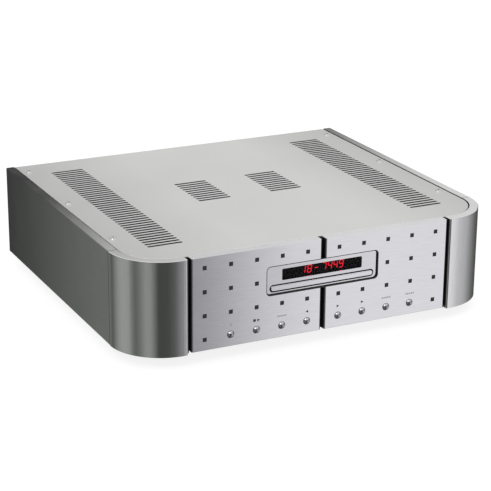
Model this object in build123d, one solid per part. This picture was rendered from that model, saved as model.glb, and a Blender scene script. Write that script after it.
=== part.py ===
from build123d import *
import math
import os

# A hi-fi compact-disc player: thick aluminium front and side walls round a steel chassis, with a motor-driven
# disc tray, an optical drive, a toroidal supply and two circuit boards inside.
# Millimetres. X is across the front, Y runs back from the front, Z is up. The origin is on the surface that
# the feet stand on, under the middle of the player.

# ---- Driving sizes -------------------------------------------------------------------------------
WIDTH = 450.0
DEPTH = 396.0
FOOT_HEIGHT = 13.0
SHELL_HEIGHT = 107.0
WALL = 10.0
CORNER_R = 60.0

TOP = FOOT_HEIGHT + SHELL_HEIGHT
BOTTOM = FOOT_HEIGHT
FRONT = -DEPTH / 2
BACK = DEPTH / 2
SIDE = WIDTH / 2
INNER_X = SIDE - WALL
PANEL_BACK = FRONT + WALL
SEAM_Y = FRONT + CORNER_R
CORNER_X = SIDE - CORNER_R
EDGE_BREAK = 0.5

# Front panels, parted by grooves that a black channel lines
GROOVE_HALF_GAP = 2.9
SIDE_GROOVE_HALF_GAP = 2.2
SHOULDER_R = 0.9
CORNER_SHOULDER_R = 2.0
PANEL_END_X = 155.6
PANEL_BOTTOM = BOTTOM + 2
CORNER_END_X = PANEL_END_X + 2 * SIDE_GROOVE_HALF_GAP
SIDE_GROOVE_X = PANEL_END_X + SIDE_GROOVE_HALF_GAP
CHANNEL_WALL = 0.7
CHANNEL_DEPTH = 7.2
CHANNEL_TOP_SINK = 0.4

# Grid of square studs, with the buttons on its bottom row
GRID_X0 = 19.25
GRID_PITCH_X = 30.5
GRID_PITCH_Z = 26.9
GRID_Z0 = 27.3
GRID_COLUMNS = 5
GRID_ROWS = 4
STUD = 4.7
STUD_SINK = 0.5
STUD_DEPTH = 3.0
STUD_CORNER_R = 0.3

# Display surround with the tray slot under the window
SURROUND_HALF = 68.8
SURROUND_LOW = 64.1
SURROUND_HIGH = 97.7
SURROUND_R = 5.0
LINER = 0.8
BEZEL_SINK = 2.2
BEZEL_EDGE_R = 0.8
WINDOW_W, WINDOW_H, WINDOW_R = 98.0, 13.0, 1.6
WINDOW_Z = 85.7
WINDOW_THICK = 3.0
SLOT_W, SLOT_H = 128.2, 8.6
SLOT_Z = 71.3
SLOT_GAP = 1.3
TRAY_FACE_PROUD = 0.8

# Buttons
BUTTON_Z = GRID_Z0 + 1.1
BUTTON_R = 4.0
BUTTON_BORE_R = 4.3
BUTTON_PROUD = 2.9
BUTTON_DOME = 2.6
STEM_R = 2.2
STEM_END = -184.3
STEM_CLEARANCE = 0.4

# Sheet metal
SHEET = 2.0
SUB_FRONT_BACK = PANEL_BACK + SHEET
FLOOR_TOP = BOTTOM + SHEET
REAR_FACE = 192.5
REAR_THICK = 2.5
REAR_INNER = REAR_FACE - REAR_THICK
LID_SINK = 0.4
LID_TOP = TOP - LID_SINK
LID_UNDER = LID_TOP - SHEET
LID_GAP = 1.4

# Vents in the lid: full-width slots in rows
VENT_PITCH = 7.62
VENT_W = 3.8
VENT_L = 40.6
SIDE_VENT_X, SIDE_VENT_Y0, SIDE_VENT_ROWS = 162.0, -142.3, 40
MID_VENT_X, MID_VENT_Y0, MID_VENT_ROWS = 46.0, -19.0, 10

# Lid screws
SCREW_X = 205.0
SCREW_YS = (-102.0, 34.0, 170.0)
SCREW_HEAD_R, SCREW_HEAD_H, SCREW_SHANK_R = 3.8, 2.1, 1.95

# Feet
FOOT_X, FOOT_Y, FOOT_R = 165.0, 130.0, 22.0
PAD_H = 2.5

# Disc drive. It is drawn with the middle of its tray at DRIVE_Z and lowered to the slot's height.
DRIVE_Z = 72.5
DRIVE_DROP = DRIVE_Z - SLOT_Z
DISC_Y = -125.0
DISC_WELL_R = 60.5
SMALL_WELL_R = 40.5
TRAY_HALF = 63.0
TRAY_LOW, TRAY_DECK, TRAY_HIGH = 69.4, 71.3, 75.7
TRAY_REAR = -18.0
TRAY_TRAVEL = 140.0
TRAY_WINDOW_HALF = 18.0
TRAY_EDGE = 1.0
FRAME_FRONT, FRAME_REAR = -184.0, -12.0
FRAME_LOW = 34.0
FRAME_FLOOR = FRAME_LOW + SHEET
GUIDE_X, GUIDE_T, GUIDE_TOP = 63.4, 3.0, 78.0

# Gears and racks share one tooth
MODULE = 0.9
TEETH = 18
TOOTH_PITCH = math.pi * MODULE
PITCH_R = MODULE * TEETH / 2
PRESSURE = math.radians(20)
BACKLASH = 0.12
MESH_GAP = 0.1
TRAY_RACK_X = -61.2
TRAY_GEAR_X, TRAY_GEAR_Y = TRAY_RACK_X - PITCH_R - MESH_GAP, -168.0
SLED_RACK_X = 17.0
SLED_GEAR_X, SLED_GEAR_Y = SLED_RACK_X + PITCH_R + MESH_GAP, -78.0
AXLE_R, AXLE_BORE_R = 1.5, 1.55
AXLE_BOSS_R = 3.6
MOTOR_X, MOTOR_Y = -84.0, -135.0

# Tilting drive cradle
PIVOT_Y, PIVOT_Z, PIVOT_R, PIVOT_BORE_R = -28.0, 58.5, 2.0, 2.06
CRADLE_LOW, CRADLE_TOP = 57.0, 60.0
CRADLE_HALF = 36.0
ROD_X, ROD_Z = 11.0, 62.0
LENS_Y, LENS_SEAT = DISC_Y + 24, 70.3

# Rear connectors
INLET_X, INLET_Z = -170.0, 50.0
ROCKER_X, ROCKER_Z, ROCKER_AXIS_Y = -125.0, 50.0, 190.0
JACKS = (40.0, 64.0, 112.0)
JACK_Z = 45.0
JACK_SHELL_R, JACK_BORE_R = 4.15, 1.6
JACK_TIP_Y = BACK + BUTTON_PROUD

# Boards
BOARD_Z, BOARD_T = 25.0, 1.6
BOARD_TOP = BOARD_Z + BOARD_T


# ---- Small helpers -------------------------------------------------------------------------------
def block(x0, x1, y0, y1, z0, z1):
    """A box between two corners."""
    return Pos((x0 + x1) / 2, (y0 + y1) / 2, (z0 + z1) / 2) * Box(x1 - x0, y1 - y0, z1 - z0)


def post(x, y, z0, z1, r):
    """An upright cylinder."""
    return Pos(x, y, (z0 + z1) / 2) * Cylinder(r, z1 - z0)


def pin_y(x, z, y0, y1, r):
    """A cylinder along Y."""
    return Pos(x, (y0 + y1) / 2, z) * Rot(90, 0, 0) * Cylinder(r, y1 - y0)


def pin_x(y, z, x0, x1, r):
    """A cylinder along X."""
    return Pos((x0 + x1) / 2, y, z) * Rot(0, 90, 0) * Cylinder(r, x1 - x0)


def dome(r, height):
    """A spherical cap that stands on the plane Z = 0."""
    ball_r = (r * r + height * height) / (2 * height)
    return Pos(0, 0, height - ball_r) * Sphere(ball_r) & post(0, 0, 0, height + 1, r + 1)


def plate_y(sketch, y0, y1):
    """Thickens a sketch drawn in X and Z from y0 back to y1."""
    return extrude(Plane(origin=(0, y1, 0), x_dir=(1, 0, 0), z_dir=(0, -1, 0)) * sketch, amount=y1 - y0)


def plate_z(sketch, z0, z1):
    """Thickens a sketch drawn in X and Y from z0 up to z1."""
    return extrude(Pos(0, 0, z0) * sketch, amount=z1 - z0)


def rounded(x0, x1, z0, z1, r):
    return Pos((x0 + x1) / 2, (z0 + z1) / 2) * RectangleRounded(x1 - x0, z1 - z0, r)


def span(x0, x1, z0, z1):
    """A rectangle in X and Z between two corners."""
    return Pos((x0 + x1) / 2, (z0 + z1) / 2) * Rectangle(abs(x1 - x0), z1 - z0)


def group(shapes):
    """Separate solids that share one node."""
    return Compound(children=[s for shape in shapes for s in shape.solids()])


def mirrored(shape):
    return mirror(shape, about=Plane.YZ)


# ---- Shell ---------------------------------------------------------------------------------------
def plan_outline(inset, front_y, back_y):
    """The player's plan with its round front corners, drawn inset from the outside."""
    half = SIDE - inset
    r = CORNER_R - inset
    body = Pos(0, (front_y + back_y) / 2) * Rectangle(2 * half, back_y - front_y)
    corners = [v for v in body.vertices() if v.Y < 0]
    return fillet(corners, r)


def corner_piece():
    """The quarter-round extrusion at the front right corner."""
    sy, cx = SEAM_Y, CORNER_X
    inner = CORNER_R - WALL
    shoulder_x = CORNER_END_X + CORNER_SHOULDER_R
    diagonal = math.sqrt(0.5)
    outline = [
        Line((cx + inner, sy), (SIDE, sy)),
        ThreePointArc((SIDE, sy), (cx + CORNER_R * diagonal, sy - CORNER_R * diagonal), (cx, FRONT)),
        Line((cx, FRONT), (shoulder_x, FRONT)),
        ThreePointArc(
            (shoulder_x, FRONT),
            (shoulder_x - CORNER_SHOULDER_R * diagonal, FRONT + CORNER_SHOULDER_R * (1 - diagonal)),
            (CORNER_END_X, FRONT + CORNER_SHOULDER_R),
        ),
        Line((CORNER_END_X, FRONT + CORNER_SHOULDER_R), (CORNER_END_X, PANEL_BACK)),
        Line((CORNER_END_X, PANEL_BACK), (cx, PANEL_BACK)),
        ThreePointArc((cx, PANEL_BACK), (cx + inner * diagonal, sy - inner * diagonal), (cx + inner, sy)),
    ]
    solid = plate_z(make_face(Curve() + outline), BOTTOM, TOP)
    outer = [
        e
        for e in solid.edges()
        if abs(e.center().Z - TOP) < 1e-3 and math.hypot(e.center().X - cx, e.center().Y - sy) > inner + 6
        and e.center().Y < sy - 1 and e.center().X > CORNER_END_X + 0.1
    ]
    return chamfer(outer, EDGE_BREAK)


def side_panel():
    """The right side wall, square at the back."""
    solid = block(INNER_X, SIDE, SEAM_Y, BACK, BOTTOM, TOP)
    edges = [e for e in solid.edges() if abs(e.center().X - SIDE) < 1e-3 and e.center().Y > SEAM_Y + 1]
    solid = chamfer(edges, EDGE_BREAK)
    # Threaded from inside for the lid rail and the floor's flange
    for y in (-110.0, 40.0, 160.0):
        for z in (21.0, 108.0):
            solid -= pin_x(y, z, INNER_X - 1, INNER_X + 6, 1.25)
    return solid


def grid_points():
    """(column, row, x, z) of each square stud on the right half."""
    for column in range(GRID_COLUMNS):
        for row in range(GRID_ROWS):
            behind_surround = row == 2 and column < 2
            has_button = row == 0 and column < GRID_COLUMNS - 1
            if not behind_surround and not has_button:
                yield column, row, GRID_X0 + column * GRID_PITCH_X, GRID_Z0 + row * GRID_PITCH_Z


def button_xs():
    """X of the four buttons on the right half."""
    return [GRID_X0 + column * GRID_PITCH_X for column in range(GRID_COLUMNS - 1)]


def front_panel():
    """The right front panel, with soft grooves, stud pockets, button bores and half the opening."""
    solid = block(GROOVE_HALF_GAP, PANEL_END_X, FRONT, PANEL_BACK, PANEL_BOTTOM, TOP)
    shoulders = [e for e in solid.edges().filter_by(Axis.Z) if abs(e.center().Y - FRONT) < 1e-3]
    solid = fillet(shoulders, SHOULDER_R)
    rims = [
        e
        for e in solid.edges().filter_by(Axis.X)
        if abs(e.center().Y - FRONT) < 1e-3 and e.length > SHOULDER_R * 2
    ]
    solid = chamfer(rims, EDGE_BREAK * 0.6)
    opening = rounded(-SURROUND_HALF, SURROUND_HALF, SURROUND_LOW, SURROUND_HIGH, SURROUND_R)
    solid -= plate_y(opening, FRONT - 1, PANEL_BACK + 1)
    pocket_depth = STUD_SINK + STUD_DEPTH
    pockets = [Pos(x, z) * RectangleRounded(STUD, STUD, STUD_CORNER_R) for _, _, x, z in grid_points()]
    solid -= [plate_y(p, FRONT - 1, FRONT + pocket_depth) for p in pockets]
    solid -= [pin_y(x, BUTTON_Z, FRONT - 1, PANEL_BACK + 1, BUTTON_BORE_R) for x in button_xs()]
    return solid


def grid_studs():
    """Black square studs pressed into the panel's pockets, a little below its face."""
    y0 = FRONT + STUD_SINK
    right = [
        plate_y(Pos(x, z) * RectangleRounded(STUD, STUD, STUD_CORNER_R), y0, y0 + STUD_DEPTH)
        for _, _, x, z in grid_points()
    ]
    return group(right + [mirrored(s) for s in right])


def sub_front():
    """The black steel plate behind the front panels, with a foot flange on the floor."""
    half = CORNER_X - 1
    solid = block(-half, half, PANEL_BACK, SUB_FRONT_BACK, FLOOR_TOP, LID_UNDER - 0.1)
    solid += block(-half, half, SUB_FRONT_BACK - 0.01, SUB_FRONT_BACK + 8, FLOOR_TOP, FLOOR_TOP + SHEET)
    solid -= block(-50, 50, PANEL_BACK - 1, SUB_FRONT_BACK + 1, WINDOW_Z - 7, WINDOW_Z + 7.5)
    solid -= block(-64.6, 64.6, PANEL_BACK - 1, SUB_FRONT_BACK + 1, SLOT_Z - 4.7, SLOT_Z + 4.7)
    for x in button_xs():
        for side in (-1, 1):
            solid -= pin_y(side * x, BUTTON_Z, PANEL_BACK - 1, SUB_FRONT_BACK + 1, STEM_R + STEM_CLEARANCE)
    return solid


def groove_channel(x, half_gap, z0, z1):
    """The black channel in a groove, with a round bottom."""
    notch_r = half_gap - CHANNEL_WALL
    front = FRONT + SHOULDER_R
    bottom = FRONT + CHANNEL_DEPTH
    body = Pos(0, (front + PANEL_BACK) / 2) * Rectangle(2 * half_gap, PANEL_BACK - front)
    body -= Pos(0, (FRONT + bottom - notch_r) / 2) * Rectangle(2 * notch_r, bottom - notch_r - FRONT)
    body -= Pos(0, bottom - notch_r) * Circle(notch_r)
    return Pos(x, 0, 0) * plate_z(body, z0, z1)


def front_trims():
    """The black trims: the channels in the three grooves, and the liner of the surround's opening."""
    top = TOP - CHANNEL_TOP_SINK
    return group([
        liner_frame(),
        groove_channel(-SIDE_GROOVE_X, SIDE_GROOVE_HALF_GAP, PANEL_BOTTOM, top),
        groove_channel(SIDE_GROOVE_X, SIDE_GROOVE_HALF_GAP, PANEL_BOTTOM, top),
        groove_channel(0, GROOVE_HALF_GAP, PANEL_BOTTOM, SURROUND_LOW),
        groove_channel(0, GROOVE_HALF_GAP, SURROUND_HIGH, top),
    ])


def bezel_outline():
    """The outline of the display surround, inside its liner."""
    half = SURROUND_HALF - LINER
    return rounded(-half, half, SURROUND_LOW + LINER, SURROUND_HIGH - LINER, SURROUND_R - LINER)


def liner_frame():
    """The trim that lines the panels' opening round the surround."""
    outer = rounded(-SURROUND_HALF, SURROUND_HALF, SURROUND_LOW, SURROUND_HIGH, SURROUND_R)
    return plate_y(outer, FRONT, PANEL_BACK) - plate_y(bezel_outline(), FRONT - 1, PANEL_BACK + 1)


def window_outline():
    return Pos(0, WINDOW_Z) * RectangleRounded(WINDOW_W, WINDOW_H, WINDOW_R)


def bezel():
    """The sunk display surround, with a soft front edge, the window's opening and the tray slot."""
    face = FRONT + BEZEL_SINK
    solid = plate_y(bezel_outline(), face, PANEL_BACK)
    solid = fillet([e for e in solid.edges() if abs(e.center().Y - face) < 1e-3], BEZEL_EDGE_R)
    solid -= plate_y(window_outline(), face - 1, PANEL_BACK + 1)
    solid -= plate_y(Pos(0, SLOT_Z) * SlotOverall(SLOT_W, SLOT_H), face - 1, PANEL_BACK + 1)
    return solid


def display_window():
    face = FRONT + BEZEL_SINK + 0.2
    return plate_y(window_outline(), face, face + WINDOW_THICK)


def top_cover():
    """The flat lid, let in between the walls, with two long vents and two short ones."""
    front_y = PANEL_BACK + LID_GAP
    outline = plan_outline(WALL + LID_GAP, front_y, BACK)
    solid = plate_z(outline, LID_UNDER, LID_TOP)
    rim = [e for e in solid.edges() if abs(e.center().Z - LID_TOP) < 1e-3]
    solid = chamfer(rim, EDGE_BREAK * 0.6)
    side_places = [(SIDE_VENT_X, SIDE_VENT_Y0 + row * VENT_PITCH) for row in range(SIDE_VENT_ROWS)]
    mid_places = [(MID_VENT_X, MID_VENT_Y0 + row * VENT_PITCH) for row in range(MID_VENT_ROWS)]
    slots = [
        Pos(side * x, y) * SlotOverall(VENT_L, VENT_W)
        for x, y in side_places + mid_places
        for side in (-1, 1)
    ]
    holes = [Pos(side * SCREW_X, y) * Circle(SCREW_SHANK_R + 0.25) for side in (-1, 1) for y in SCREW_YS]
    cutter = Sketch() + slots + holes
    return solid - plate_z(cutter, LID_UNDER - 1, LID_TOP + 1)


def lid_screws():
    """Dome-headed screws with a hexagon socket."""
    screws = []
    for side in (-1, 1):
        for y in SCREW_YS:
            head = dome(SCREW_HEAD_R, SCREW_HEAD_H)
            head -= plate_z(RegularPolygon(1.4, 6), SCREW_HEAD_H - 1.3, SCREW_HEAD_H + 1)
            head += post(0, 0, -11, 0.01, SCREW_SHANK_R)
            screws.append(Pos(side * SCREW_X, y, LID_TOP) * head)
    return group(screws)


def lid_rails():
    """Angle rails inside the side walls that the lid screws into."""
    rail = block(199, INNER_X, -120, 185, LID_UNDER - SHEET, LID_UNDER)
    rail += block(INNER_X - SHEET, INNER_X, -120, 185, 100, LID_UNDER - SHEET + 0.01)
    for y in SCREW_YS:
        rail += post(SCREW_X, y, LID_UNDER - 9, LID_UNDER - SHEET + 0.01, 4)
        rail -= post(SCREW_X, y, LID_UNDER - 10, LID_UNDER + 1, SCREW_SHANK_R)
    return group([rail, mirrored(rail)])


def base_pan():
    """The floor: a steel pan with flanges at the sides and back, vent slots and the feet's holes."""
    outline = plan_outline(WALL + 0.4, SUB_FRONT_BACK + 1, REAR_INNER - 0.2)
    solid = plate_z(outline, BOTTOM, FLOOR_TOP)
    flange_x = INNER_X - 0.4
    for side in (-1, 1):
        x0, x1 = sorted((side * (flange_x - SHEET), side * flange_x))
        solid += block(x0, x1, -125, 180, FLOOR_TOP - 0.01, 27)
    solid += block(-205, 205, REAR_INNER - 0.2 - SHEET, REAR_INNER - 0.2, FLOOR_TOP - 0.01, 27)
    slots = [
        Pos(x, y) * SlotOverall(40, 3)
        for x in (-130, 80, 150)
        for y in [-20 + 10 * row for row in range(10)]
    ]
    solid -= plate_z(Sketch() + slots, BOTTOM - 1, FLOOR_TOP + 1)
    foot_places = [(sx * FOOT_X, sy * FOOT_Y) for sx in (-1, 1) for sy in (-1, 1)]
    solid -= [post(x, y, BOTTOM - 1, FLOOR_TOP + 1, 2.1) for x, y in foot_places]
    solid -= [pin_y(x, 21, 180, BACK, 1.5) for x in (-190, -60, 60, 190)]
    return solid


def rear_panel():
    """The recessed rear plate with the cut-outs for its connectors."""
    solid = block(-INNER_X + 0.2, INNER_X - 0.2, REAR_INNER, REAR_FACE, FLOOR_TOP, LID_UNDER - 0.1)
    solid -= block(INLET_X - 13.6, INLET_X + 13.6, REAR_INNER - 1, REAR_FACE + 1, INLET_Z - 10, INLET_Z + 10)
    rocker_x0, rocker_x1 = ROCKER_X - 6.4, ROCKER_X + 6.4
    solid -= block(rocker_x0, rocker_x1, REAR_INNER - 1, REAR_FACE + 1, ROCKER_Z - 13, ROCKER_Z + 13)
    solid -= [pin_y(x, JACK_Z, REAR_INNER - 1, REAR_FACE + 1, 5.0) for x in JACKS]
    solid -= [pin_y(x, 21, REAR_INNER - 1, REAR_FACE + 1, 1.6) for x in (-190, -60, 60, 190)]
    slots = [Pos(x, 98) * Rot(0, 0, 90) * SlotOverall(16, 3) for x in range(-60, 61, 8)]
    solid -= plate_y(Sketch() + slots, REAR_INNER - 1, REAR_FACE + 1)
    return solid


def rear_screws():
    """Pan-head screws that hold the rear plate to the floor's flange."""
    screws = []
    for x in (-190, -60, 60, 190):
        head = pin_y(x, 21, REAR_FACE, REAR_FACE + 2, 2.8)
        head = fillet(head.edges().sort_by(Axis.Y)[-1], 1.2)
        head -= block(x - 2, x + 2, REAR_FACE + 1.2, REAR_FACE + 3, 20.7, 21.3)
        head -= block(x - 0.3, x + 0.3, REAR_FACE + 1.2, REAR_FACE + 3, 19, 23)
        screws.append(head + pin_y(x, 21, REAR_INNER - 4, REAR_FACE + 0.01, 1.45))
    return group(screws)


# ---- Feet ----------------------------------------------------------------------------------------
def foot_places():
    return [(sx * FOOT_X, sy * FOOT_Y) for sx in (-1, 1) for sy in (-1, 1)]


def feet():
    bodies = []
    for x, y in foot_places():
        foot = Pos(0, 0, (PAD_H + BOTTOM) / 2) * Cone(FOOT_R - 2, FOOT_R, BOTTOM - PAD_H)
        foot -= post(0, 0, PAD_H - 1, 8, 5)
        foot -= post(0, 0, 7, BOTTOM + 1, 2.1)
        bodies.append(Pos(x, y, 0) * foot)
    return group(bodies)


def foot_pads():
    ring = post(0, 0, 0, PAD_H, FOOT_R - 3) - post(0, 0, -1, PAD_H + 1, 8)
    return group([Pos(x, y, 0) * ring for x, y in foot_places()])


def foot_screws():
    screw = post(0, 0, 4.5, 8, 4) + post(0, 0, 7.9, FLOOR_TOP + 3, 2)
    return group([Pos(x, y, 0) * screw for x, y in foot_places()])


# ---- Display and buttons -------------------------------------------------------------------------
def display_module():
    """The numeric display's block, behind the window."""
    return block(-47, 47, -190.4, -183, WINDOW_Z - 5.5, WINDOW_Z + 6.3)


def button(x):
    """A domed cap on a stem, with a clip behind the steel plate."""
    tip = FRONT - BUTTON_PROUD
    cap = pin_y(0, 0, tip + BUTTON_DOME - 0.01, FRONT + 8, BUTTON_R)
    cap += Pos(0, tip + BUTTON_DOME, 0) * Rot(90, 0, 0) * dome(BUTTON_R, BUTTON_DOME)
    stem = pin_y(0, 0, FRONT + 7.9, STEM_END, STEM_R)
    clip = pin_y(0, 0, SUB_FRONT_BACK + 0.4, SUB_FRONT_BACK + 1.2, 3.6)
    return Pos(x, 0, BUTTON_Z) * (cap + stem + clip)


def front_boards():
    """The display's board, and the buttons' board with a push switch behind each button."""
    pieces = [
        block(-60, 60, -183, -183 + BOARD_T, WINDOW_Z - 7, 100),
        block(-130, 130, -179, -179 + BOARD_T, 18, 32),
    ]
    for x in button_xs():
        for side in (-1, 1):
            body = block(side * x - 3, side * x + 3, -182, -179, BUTTON_Z - 3, BUTTON_Z + 3)
            pieces.append(body + pin_y(side * x, BUTTON_Z, -182.9, -181.9, 1.7))
    return group(pieces)


# ---- Gears ---------------------------------------------------------------------------------------
def gear_outline():
    """An involute gear outline, with a tooth centred on +X."""
    base_r = PITCH_R * math.cos(PRESSURE)
    tip_r = PITCH_R + MODULE
    root_r = PITCH_R - 1.25 * MODULE
    involute = math.tan(PRESSURE) - PRESSURE
    half_tooth = math.pi / (2 * TEETH) - BACKLASH / (2 * PITCH_R)
    flank = []
    for step in range(6):
        r = base_r + (tip_r - base_r) * step / 5
        roll = math.acos(min(1.0, base_r / r))
        flank.append((r, half_tooth + involute - (math.tan(roll) - roll)))
    points = []
    for tooth in range(TEETH):
        middle = 2 * math.pi * tooth / TEETH
        rising = [(root_r, -flank[0][1])] + [(r, -a) for r, a in flank]
        falling = [(r, a) for r, a in reversed(flank)] + [(root_r, flank[0][1])]
        points += [(r * math.cos(middle + a), r * math.sin(middle + a)) for r, a in rising + falling]
    return make_face(Polyline(*points, close=True))


def rack(y0, y1, gap_y, inner, tips_at, direction, z0, z1):
    """A straight rack along Y, with a gap between teeth centred on gap_y.

    The teeth point along direction times X, and tips_at is the X of the pitch line.
    """
    tip = tips_at + direction * MODULE
    root = tips_at - direction * 1.25 * MODULE
    half_gap = TOOTH_PITCH / 4 + BACKLASH / 4
    tip_half = half_gap + MODULE * math.tan(PRESSURE)
    root_half = half_gap - 1.25 * MODULE * math.tan(PRESSURE)
    first = math.ceil((y0 - gap_y) / TOOTH_PITCH + 0.5)
    last = math.floor((y1 - gap_y) / TOOTH_PITCH - 0.5)
    y0 = gap_y + (first - 0.5) * TOOTH_PITCH
    y1 = gap_y + (last + 0.5) * TOOTH_PITCH
    points = [(inner, y0), (tip, y0)]
    for k in range(first, last + 1):
        y = gap_y + k * TOOTH_PITCH
        points += [(tip, y - tip_half), (root, y - root_half), (root, y + root_half), (tip, y + tip_half)]
    points += [(tip, y1), (inner, y1)]
    return plate_z(make_face(Polyline(*points, close=True)), z0, z1)


# ---- Tray ----------------------------------------------------------------------------------------
def disc_tray():
    """The tray: a rim round a disc well, an open-backed window for the drive, and a rack."""
    y0 = FRONT + BEZEL_SINK + 3
    root_x = TRAY_RACK_X + 1.25 * MODULE
    solid = block(-TRAY_HALF, TRAY_HALF, y0, TRAY_REAR, TRAY_DECK, TRAY_HIGH)
    solid += block(root_x + 0.5, TRAY_HALF, y0, TRAY_REAR, TRAY_LOW, TRAY_DECK + 0.01)
    corners = [(-TRAY_HALF, TRAY_HIGH), (TRAY_HALF, TRAY_HIGH), (TRAY_HALF, TRAY_LOW)]
    long_edges = [
        e for e in solid.edges().filter_by(Axis.Y)
        if any(math.hypot(e.center().X - x, e.center().Z - z) < 0.1 for x, z in corners)
    ]
    solid = chamfer(long_edges, TRAY_EDGE)
    solid -= post(0, DISC_Y, TRAY_DECK, TRAY_HIGH + 1, DISC_WELL_R)
    solid -= post(0, DISC_Y, TRAY_DECK - 0.9, TRAY_HIGH, SMALL_WELL_R)
    solid -= post(0, DISC_Y, TRAY_LOW - 1, TRAY_HIGH + 1, TRAY_WINDOW_HALF)
    solid -= block(-TRAY_WINDOW_HALF, TRAY_WINDOW_HALF, DISC_Y, 0, TRAY_LOW - 1, TRAY_HIGH + 1)
    solid += rack(y0, TRAY_REAR, TRAY_GEAR_Y, root_x + 1, TRAY_RACK_X, -1, TRAY_LOW, TRAY_DECK)
    return solid


def tray_front():
    """The tray's pill-shaped face."""
    face = FRONT + BEZEL_SINK - TRAY_FACE_PROUD
    outline = Pos(0, SLOT_Z) * SlotOverall(SLOT_W - 2 * SLOT_GAP, SLOT_H - 2 * SLOT_GAP)
    solid = plate_y(outline, face, FRONT + BEZEL_SINK + 3)
    return fillet([e for e in solid.edges() if abs(e.center().Y - face) < 1e-3], 0.8)


def transport_chassis():
    """The moulded frame of the disc drive: floor, tray guides, a gear's axle and the cradle's ears."""
    profile = span(-97, 70, FRAME_LOW, FRAME_FLOOR)
    for side in (-1, 1):
        profile += span(side * GUIDE_X, side * (GUIDE_X + GUIDE_T), FRAME_LOW, GUIDE_TOP)
        profile += span(side * 58, side * (GUIDE_X + GUIDE_T), TRAY_LOW - 3.3, TRAY_LOW - 0.3)
        profile += span(side * 60.5, side * (GUIDE_X + GUIDE_T), TRAY_HIGH + 0.5, GUIDE_TOP)
    solid = plate_y(profile, FRAME_FRONT, FRAME_REAR)
    solid -= block(-75, -57, -182.5, -149, 60, 72)
    for side in (-1, 1):
        ear = sorted((side * (CRADLE_HALF + 1.5), side * (CRADLE_HALF + 4.5)))
        solid += block(*ear, PIVOT_Y - 5, PIVOT_Y + 5, FRAME_LOW, PIVOT_Z + 4)
        solid -= pin_x(PIVOT_Y, PIVOT_Z, ear[0] - 1, ear[1] + 1, PIVOT_BORE_R)
    solid += post(TRAY_GEAR_X, TRAY_GEAR_Y, FRAME_LOW, 61.7, AXLE_BOSS_R)
    solid += post(TRAY_GEAR_X, TRAY_GEAR_Y, FRAME_LOW, 72, AXLE_R)
    return solid


def clamp_bridge():
    """The steel bridge over the tray that carries the disc clamp."""
    outer = GUIDE_X + GUIDE_T
    solid = block(-outer, outer, DISC_Y - 25, DISC_Y + 25, GUIDE_TOP, GUIDE_TOP + 1.5)
    solid = fillet(solid.edges().filter_by(Axis.Z), 4)
    solid -= post(0, DISC_Y, GUIDE_TOP - 1, GUIDE_TOP + 3, 14.6)
    return solid


def clamp_puck():
    """The magnetic disc clamp, hanging through the bridge over the turntable."""
    solid = post(0, DISC_Y, 73.9, 76, 16.5)
    solid += post(0, DISC_Y, 75.9, 80.4, 13.5)
    solid += post(0, DISC_Y, 80.3, 82, 17)
    solid -= post(0, DISC_Y, 73, 75.2, 8.2)
    return solid


def traverse_cradle():
    """The plate that carries the drive and tilts down when the tray moves."""
    solid = block(-CRADLE_HALF, CRADLE_HALF, -150, -30, CRADLE_LOW, CRADLE_TOP)
    solid = fillet(solid.edges().filter_by(Axis.Z), 5)
    solid += block(-CRADLE_HALF, CRADLE_HALF, -31, PIVOT_Y + 3, CRADLE_LOW, CRADLE_TOP)
    solid -= block(-18.8, 18.8, -111.2, -45.6, CRADLE_LOW - 1, CRADLE_TOP + 1)
    solid -= post(0, DISC_Y, CRADLE_LOW - 1, CRADLE_TOP + 1, 4.6)
    for side in (-1, 1):
        lug = sorted((side * (ROD_X - 3), side * (ROD_X + 3)))
        for y0, y1 in ((-115, -111.4), (-45.4, -42)):
            solid += block(*lug, y0, y1, CRADLE_TOP - 0.01, ROD_Z + 3)
        pivot = sorted((side * (CRADLE_HALF - 4), side * (CRADLE_HALF + 5)))
        solid += pin_x(PIVOT_Y, PIVOT_Z, *pivot, PIVOT_R)
        solid -= pin_y(side * ROD_X, ROD_Z, -116, -41, AXLE_R)
    solid += post(SLED_GEAR_X, SLED_GEAR_Y, CRADLE_TOP - 0.01, 64, AXLE_R)
    return solid


def sled_rods():
    return group([pin_y(side * ROD_X, ROD_Z, -115, -42, AXLE_R) for side in (-1, 1)])


def spindle_motor():
    """The flat motor under the turntable, with a collar through the cradle."""
    solid = post(0, DISC_Y, 48.5, CRADLE_LOW, 12.5)
    solid = fillet(solid.edges().sort_by(Axis.Z)[0], 1)
    solid += post(0, DISC_Y, CRADLE_LOW - 0.01, 60.5, 4.5)
    return solid - post(0, DISC_Y, 50, 61, 1.35)


def turntable():
    """The disc's platform with its centring boss, on the motor's shaft."""
    solid = post(0, DISC_Y, 68, 72.5, 15)
    solid += post(0, DISC_Y, 62, 68.01, 5)
    solid += post(0, DISC_Y, 50.5, 62.01, 1.25)
    boss = post(0, DISC_Y, 72.4, 74.6, 7.4)
    return solid + chamfer(boss.edges().sort_by(Axis.Z)[-1], 0.8)


def laser_sled():
    """The optical head's carriage on its two rods, with a rack on its right."""
    solid = block(-14.5, 14.5, -110.5, -80.5, 58, 66.5)
    solid = fillet(solid.edges().filter_by(Axis.Z), 2)
    solid += post(0, LENS_Y, 66.4, LENS_SEAT, 5.5)
    solid += rack(-121, -70, SLED_GEAR_Y, 14.9, SLED_RACK_X, 1, 61, 63.5)
    solid += block(14, 15.2, -108, -83, 61, 63.5)
    for side in (-1, 1):
        solid -= pin_y(side * ROD_X, ROD_Z, -120, -70, AXLE_BORE_R)
    return solid


def objective_lens():
    lens = post(0, LENS_Y, LENS_SEAT, LENS_SEAT + 0.8, 3.2)
    return fillet(lens.edges().sort_by(Axis.Z)[-1], 0.6)


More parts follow.
